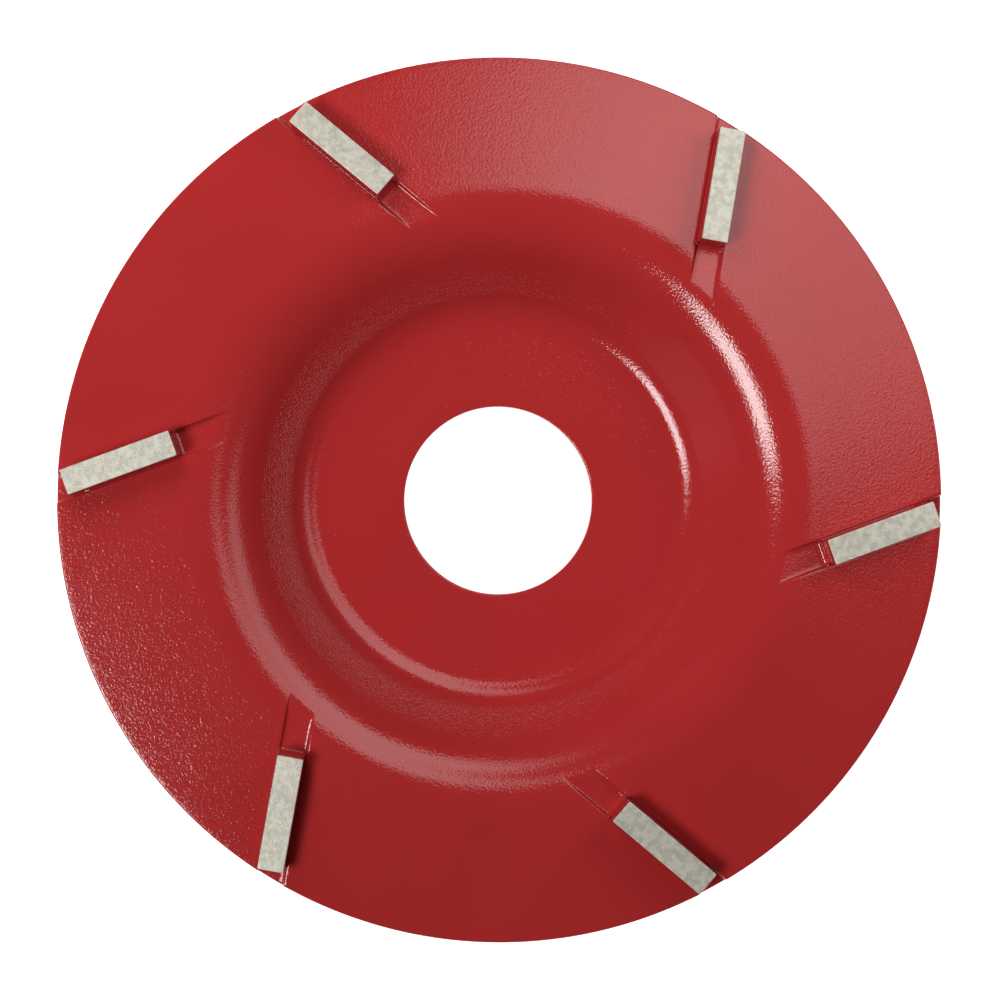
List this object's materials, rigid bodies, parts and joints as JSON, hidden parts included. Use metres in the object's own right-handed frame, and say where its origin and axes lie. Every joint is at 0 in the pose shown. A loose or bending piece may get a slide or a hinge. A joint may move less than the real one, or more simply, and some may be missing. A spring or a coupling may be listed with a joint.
{
  "type": "angle grinder carving disc",
  "caption": "Dished steel disc with a flat bored hub and skewed carbide cutting bars brazed into slots round its raised rim.",
  "frame": {"origin": "on the spindle axis, at the hub's rear face, which seats on the grinder's backing flange", "axes": "+Z along the spindle axis towards the working side, where the teeth stand; the slot of tooth_1 runs out 20 degrees from +X towards +Y"},
  "size_m": [0.1016, 0.1016, 0.0142],
  "materials": {
    "red_paint": "gloss",
    "carbide": "satin",
    "painted_braze": "gloss"
  },
  "bodies": {
    "root": {"disc_body": "red_paint", "tooth_1": "carbide", "tooth_2": "carbide", "tooth_3": "carbide", "tooth_4": "carbide", "tooth_5": "carbide", "tooth_6": "carbide", "braze_1": "painted_braze", "braze_2": "painted_braze", "braze_3": "painted_braze", "braze_4": "painted_braze", "braze_5": "painted_braze", "braze_6": "painted_braze"}
  },
  "joints": []
}
